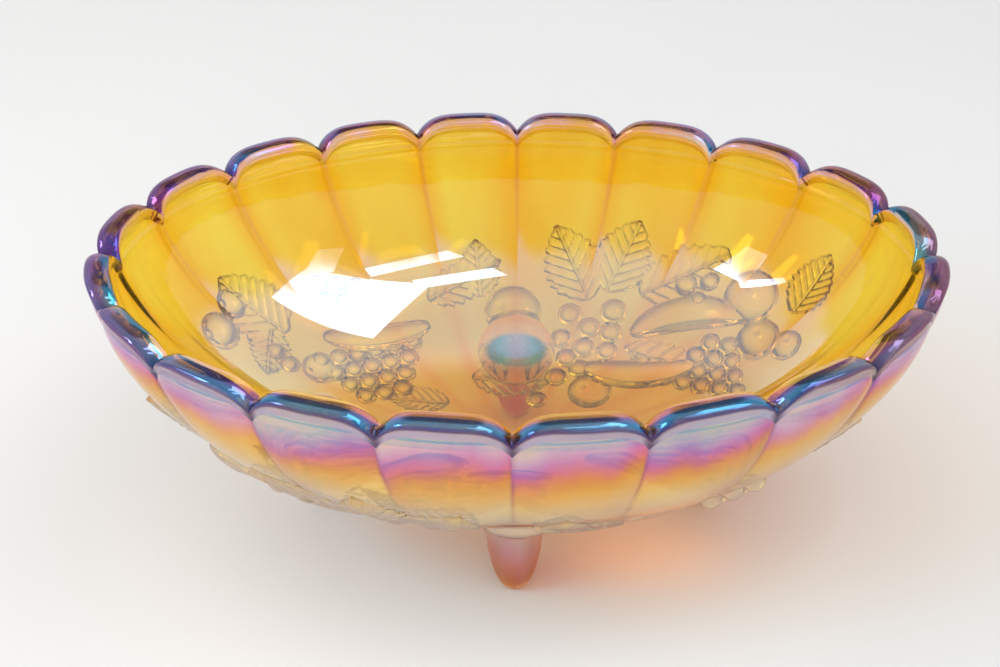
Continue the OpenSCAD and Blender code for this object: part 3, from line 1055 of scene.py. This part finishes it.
def make_lights():
    middle = (0, 0, 0.05)
    lamp = area_light("left_softbox", (-1.2, -0.5, 1.0), middle, (0.7, 0.7), LEFT_WATTS, (1, 0.98, 0.95))
    lamp.visible_glossy = False
    lamp.visible_transmission = False
    cool, warm = (0.84, 0.94, 1), (1, 0.95, 1)
    ceiling_pane("window_broad", (0.77, -0.15), (0.9, 0.6), -8, WINDOW_GLOW, cool)
    ceiling_pane("window_corner", (1.1, -0.68), (0.26, 0.5), 20, WINDOW_GLOW, cool)
    ceiling_pane("window_bar", (0.46, -0.68), (0.5, 0.15), 40, WINDOW_GLOW, cool)
    ceiling_pane("window_edge", (0.2, -0.46), (0.34, 0.12), 30, WINDOW_GLOW, cool)
    ceiling_pane("left_window", (-1.55, -0.55), (0.9, 0.35), 25, LEFT_GLOW, warm)
    ceiling_pane("left_bar", (-1.5, -0.1), (0.7, 0.12), -20, LEFT_GLOW, warm)
    high = (0, 0.3, 2.4)
    overhead = area_light("overhead_softbox", high, middle, (2.6, 2.6), OVERHEAD_WATTS, (1, 0.99, 0.98))
    overhead.visible_glossy = overhead.visible_transmission = False
    gathered_light("gathered_below", (0, 0.045, 0.014), (0.2, 0.11), 0.028, (1, 0.74, 0.48))
    gathered_light("gathered_around", (-0.02, -0.03, 0.055), (0.27, 0.22), 0.055, (1, 0.87, 0.74))
    gathered_light("gathered_right", (0.05, -0.035, 0.0185), (0.06, 0.03), 0.0022, (1, 0.3, 0.0))
    bpy.context.scene.world = make_world()


def gathered_light(name, place, size, power, colour):
    """Light that the bowl would gather on the table under it: a lamp that only the table can see."""
    lamp = area_light(name, place, (place[0], place[1], 0), size, power, colour)
    lamp.data.shape = "ELLIPSE"
    lamp.visible_camera = lamp.visible_glossy = lamp.visible_transmission = False


def make_world():
    """A pale room that is a little darker overhead and darkest in one patch high at the back."""
    world = bpy.data.worlds.new("studio")
    world.use_nodes = True
    tree = world.node_tree
    place = tree.nodes.new("ShaderNodeTexCoord")
    split = tree.nodes.new("ShaderNodeSeparateXYZ")
    tree.links.new(place.outputs["Generated"], split.inputs["Vector"])
    room = grey_ramp(tree, split.outputs["Z"], ROOM_LOW, ROOM_HIGH)
    toward = tree.nodes.new("ShaderNodeVectorMath")
    toward.operation = "DOT_PRODUCT"
    tree.links.new(place.outputs["Generated"], toward.inputs[0])
    toward.inputs[1].default_value = Vector(PATCH_TOWARD).normalized()
    patch = grey_ramp(tree, toward.outputs["Value"], PATCH_EDGE, PATCH_MIDDLE)
    both = tree.nodes.new("ShaderNodeMix")
    both.data_type = "RGBA"
    both.blend_type = "MULTIPLY"
    both.inputs["Factor"].default_value = 1.0
    tree.links.new(room, both.inputs[6])
    tree.links.new(patch, both.inputs[7])
    tree.links.new(both.outputs[2], tree.nodes["Background"].inputs["Color"])
    return world


def grey_ramp(tree, value, low, high):
    """Grey that goes from low to high, each given as (value, grey)."""
    ramp = tree.nodes.new("ShaderNodeValToRGB")
    ramp.color_ramp.interpolation = "EASE"
    for element, (at, grey) in zip(ramp.color_ramp.elements, (low, high)):
        element.position, element.color = at, (grey, grey, grey, 1)
    tree.links.new(value, ramp.inputs["Fac"])
    return ramp.outputs["Color"]


def set_view():
    scene = bpy.context.scene
    scene.view_settings.view_transform = "Standard"
    scene.view_settings.exposure = EXPOSURE
    scene.cycles.max_bounces = 16
    scene.cycles.transmission_bounces = 14
    scene.cycles.glossy_bounces = 6
    scene.cycles.transparent_max_bounces = 24
    scene.cycles.caustics_refractive = False
    scene.cycles.caustics_reflective = False
    scene.cycles.use_denoising = True


# ---- Making it ----

make_camera()
make_floor()
make_lights()
set_view()

joined = joined_glass()
foot_glass, relief_glass = foot_outside(), relief_outside()
glass = Glass()
body = body_piece(glass, body_outside(), body_inside(), joined, make_painted_root_reflection())
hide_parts("bowl_body")
rim = rim_piece(glass, rim_outside(), joined)
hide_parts("scalloped_rim")
for number, region in enumerate(REGIONS, 1):
    is_foot = region in FEET
    piece = region_piece(glass, number, foot_glass if is_foot else relief_glass, joined)
    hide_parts(region)
